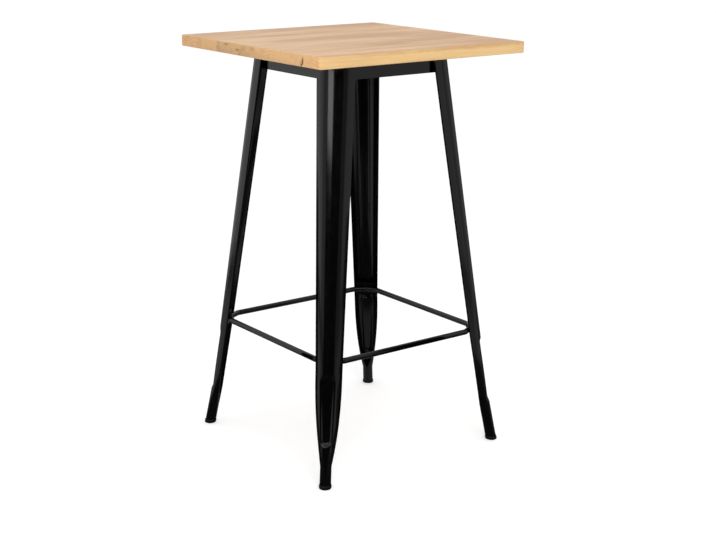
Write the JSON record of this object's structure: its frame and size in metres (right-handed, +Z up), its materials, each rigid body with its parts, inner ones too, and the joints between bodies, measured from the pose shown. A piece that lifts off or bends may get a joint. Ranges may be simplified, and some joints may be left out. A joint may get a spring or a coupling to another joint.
{
  "type": "bar table",
  "caption": "Tall square bar table with a plank top, splayed pressed-steel legs that end in tube feet, apron rails and a rod footrest.",
  "frame": {"origin": "on the floor under the middle of the tabletop", "axes": "+Z up, X along the boards' grain, Y across the boards, the narrow board on the -Y side"},
  "size_m": [0.6, 0.6, 1.02],
  "materials": {
    "wood": "satin clear finish on pale straight-grained wood",
    "black_paint": "gloss black powder coat",
    "zinc_steel": "zinc plated",
    "black_rubber": "matt black moulding"
  },
  "bodies": {
    "root": {"top_board_1": "wood", "top_board_2": "wood", "top_board_3": "wood", "top_board_4": "wood", "leg_right": "black_paint", "foot_cap_right": "black_rubber", "corner_bracket_right": "black_paint", "footrest_plate_right": "black_paint", "leg_back": "black_paint", "foot_cap_back": "black_rubber", "corner_bracket_back": "black_paint", "footrest_plate_back": "black_paint", "leg_left": "black_paint", "foot_cap_left": "black_rubber", "corner_bracket_left": "black_paint", "footrest_plate_left": "black_paint", "leg_front": "black_paint", "foot_cap_front": "black_rubber", "corner_bracket_front": "black_paint", "footrest_plate_front": "black_paint", "apron_rail_right_front": "black_paint", "footrest_rod_right_front": "black_paint", "apron_rail_right_back": "black_paint", "footrest_rod_right_back": "black_paint", "apron_rail_left_back": "black_paint", "footrest_rod_left_back": "black_paint", "apron_rail_left_front": "black_paint", "footrest_rod_left_front": "black_paint", "rail_bolts": "zinc_steel", "rail_washers": "zinc_steel", "rail_nuts": "zinc_steel", "top_screws": "zinc_steel"}
  },
  "joints": []
}
